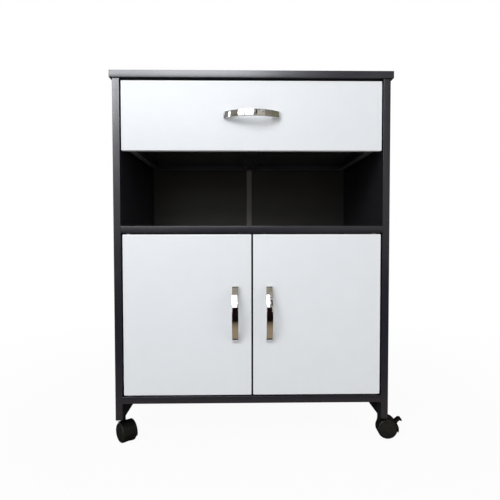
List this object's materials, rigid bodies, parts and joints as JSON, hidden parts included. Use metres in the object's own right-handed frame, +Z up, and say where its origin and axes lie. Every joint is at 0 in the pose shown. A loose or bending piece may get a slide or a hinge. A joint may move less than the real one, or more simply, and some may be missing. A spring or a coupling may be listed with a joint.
{
  "type": "microwave stand with drawer",
  "caption": "Rolling kitchen stand: top for a microwave, drawer with bow handle, open bay, and a two-door cupboard on twin-wheel casters.",
  "frame": {"origin": "on the floor under the middle of the stand's outline, handles and brake levers included", "axes": "+Z up; +X to the right seen from the front; +Y to the back, so the drawer opens along -Y"},
  "size_m": [0.6722, 0.4308, 0.801],
  "materials": {
    "grey_board": "chipboard with graphite-grey melamine, satin",
    "white_board": "chipboard with white melamine, satin",
    "hardboard": "painted hardboard, dull",
    "strip_plastic": "extruded plastic",
    "chrome": "polished chrome plate",
    "zinc_steel": "bright zinc plate",
    "beech": "bare beech",
    "grey_nylon": "moulded nylon",
    "black_nylon": "moulded nylon, slight sheen"
  },
  "bodies": {
    "carcass": {"top_panel": "grey_board", "side_panel_left": "grey_board", "side_panel_right": "grey_board", "middle_shelf": "grey_board", "bottom_panel": "grey_board", "back_panel_left": "hardboard", "back_panel_right": "hardboard", "back_joiner_strip": "strip_plastic", "loose_shelf": "grey_board", "shelf_pins": "zinc_steel", "cam_locks": "zinc_steel", "cam_bolts": "zinc_steel", "dowels": "beech", "magnetic_catch": "grey_nylon", "pivot_bushes": "grey_nylon", "slide_cabinet_member_left": "zinc_steel", "slide_cabinet_member_right": "zinc_steel", "caster_sockets": "zinc_steel", "caster_stems": "zinc_steel"},
    "drawer": {"drawer_front": "white_board", "drawer_side_left": "grey_board", "drawer_side_right": "grey_board", "drawer_back": "grey_board", "drawer_bottom": "hardboard", "drawer_bottom_brace": "grey_board", "drawer_handle": "chrome", "drawer_handle_screws": "zinc_steel", "slide_drawer_member_left": "zinc_steel", "slide_drawer_member_right": "zinc_steel"},
    "ball_cages": {"slide_ball_cage_left": "zinc_steel", "slide_ball_cage_right": "zinc_steel", "slide_balls": "zinc_steel"},
    "left_door": {"door_left": "white_board", "door_left_handle": "chrome", "door_left_handle_screws": "zinc_steel", "door_left_pivot_pins": "zinc_steel", "door_left_strike_plate": "zinc_steel"},
    "right_door": {"door_right": "white_board", "door_right_handle": "chrome", "door_right_handle_screws": "zinc_steel", "door_right_pivot_pins": "zinc_steel", "door_right_strike_plate": "zinc_steel"},
    "front_left_caster": {"caster_front_left_hood": "black_nylon", "caster_front_left_axle": "zinc_steel"},
    "front_left_caster_left_wheel": {"caster_front_left_wheel_left": "black_nylon"},
    "front_left_caster_right_wheel": {"caster_front_left_wheel_right": "black_nylon"},
    "front_right_caster": {"caster_front_right_hood": "black_nylon", "caster_front_right_axle": "zinc_steel"},
    "front_right_caster_left_wheel": {"caster_front_right_wheel_left": "black_nylon"},
    "front_right_caster_right_wheel": {"caster_front_right_wheel_right": "black_nylon"},
    "front_right_brake": {"caster_front_right_brake_lever": "black_nylon"},
    "rear_left_caster": {"caster_rear_left_hood": "black_nylon", "caster_rear_left_axle": "zinc_steel"},
    "rear_left_caster_left_wheel": {"caster_rear_left_wheel_left": "black_nylon"},
    "rear_left_caster_right_wheel": {"caster_rear_left_wheel_right": "black_nylon"},
    "rear_left_brake": {"caster_rear_left_brake_lever": "black_nylon"},
    "rear_right_caster": {"caster_rear_right_hood": "black_nylon", "caster_rear_right_axle": "zinc_steel"},
    "rear_right_caster_left_wheel": {"caster_rear_right_wheel_left": "black_nylon"},
    "rear_right_caster_right_wheel": {"caster_rear_right_wheel_right": "black_nylon"}
  },
  "joints": [
    {"name": "drawer_slide", "type": "slide", "parent": "carcass", "child": "drawer", "axis": [0, -1, 0], "range_m": [0, 0.225]},
    {"name": "ball_cage_travel", "type": "slide", "parent": "carcass", "child": "ball_cages", "axis": [0, -1, 0], "range_m": [0, 0.1125]},
    {"name": "left_door_hinge", "type": "hinge", "parent": "carcass", "child": "left_door", "pos_m": [-0.2645, -0.1745, 0.2825], "axis": [0, 0, -1], "range_deg": [0, 110]},
    {"name": "right_door_hinge", "type": "hinge", "parent": "carcass", "child": "right_door", "pos_m": [0.2645, -0.1745, 0.2825], "axis": [0, 0, 1], "range_deg": [0, 110]},
    {"name": "front_left_swivel", "type": "hinge", "parent": "carcass", "child": "front_left_caster", "pos_m": [-0.2875, -0.147, 0.049], "axis": [0, 0, 1], "continuous": true},
    {"name": "front_left_left_wheel_spin", "type": "hinge", "parent": "front_left_caster", "child": "front_left_caster_left_wheel", "pos_m": [-0.27806, -0.15866, 0.022], "axis": [0.7771, 0.6293, 0], "continuous": true},
    {"name": "front_left_right_wheel_spin", "type": "hinge", "parent": "front_left_caster", "child": "front_left_caster_right_wheel", "pos_m": [-0.27806, -0.15866, 0.022], "axis": [0.7771, 0.6293, 0], "continuous": true},
    {"name": "front_right_swivel", "type": "hinge", "parent": "carcass", "child": "front_right_caster", "pos_m": [0.2875, -0.147, 0.049], "axis": [0, 0, 1], "continuous": true},
    {"name": "front_right_left_wheel_spin", "type": "hinge", "parent": "front_right_caster", "child": "front_right_caster_left_wheel", "pos_m": [0.30248, -0.14778, 0.022], "axis": [0.0523, 0.9986, 0], "continuous": true},
    {"name": "front_right_right_wheel_spin", "type": "hinge", "parent": "front_right_caster", "child": "front_right_caster_right_wheel", "pos_m": [0.30248, -0.14778, 0.022], "axis": [0.0523, 0.9986, 0], "continuous": true},
    {"name": "front_right_brake_press", "type": "hinge", "parent": "front_right_caster", "child": "front_right_brake", "pos_m": [0.31621, -0.1485, 0.03199], "axis": [0.0523, 0.9986, 0], "range_deg": [0, 14]},
    {"name": "rear_left_swivel", "type": "hinge", "parent": "carcass", "child": "rear_left_caster", "pos_m": [-0.2875, 0.175, 0.049], "axis": [0, 0, 1], "continuous": true},
    {"name": "rear_left_left_wheel_spin", "type": "hinge", "parent": "rear_left_caster", "child": "rear_left_caster_left_wheel", "pos_m": [-0.30248, 0.17578, 0.022], "axis": [-0.0523, -0.9986, 0], "continuous": true},
    {"name": "rear_left_right_wheel_spin", "type": "hinge", "parent": "rear_left_caster", "child": "rear_left_caster_right_wheel", "pos_m": [-0.30248, 0.17578, 0.022], "axis": [-0.0523, -0.9986, 0], "continuous": true},
    {"name": "rear_left_brake_press", "type": "hinge", "parent": "rear_left_caster", "child": "rear_left_brake", "pos_m": [-0.31621, 0.1765, 0.03199], "axis": [-0.0523, -0.9986, 0], "range_deg": [0, 14]},
    {"name": "rear_right_swivel", "type": "hinge", "parent": "carcass", "child": "rear_right_caster", "pos_m": [0.2875, 0.175, 0.049], "axis": [0, 0, 1], "continuous": true},
    {"name": "rear_right_left_wheel_spin", "type": "hinge", "parent": "rear_right_caster", "child": "rear_right_caster_left_wheel", "pos_m": [0.28046, 0.18824, 0.022], "axis": [-0.8829, -0.4695, 0], "continuous": true},
    {"name": "rear_right_right_wheel_spin", "type": "hinge", "parent": "rear_right_caster", "child": "rear_right_caster_right_wheel", "pos_m": [0.28046, 0.18824, 0.022], "axis": [-0.8829, -0.4695, 0], "continuous": true}
  ],
  "couplings": [
    {"joint": "ball_cage_travel", "follows": "drawer_slide", "ratio": 0.5}
  ]
}
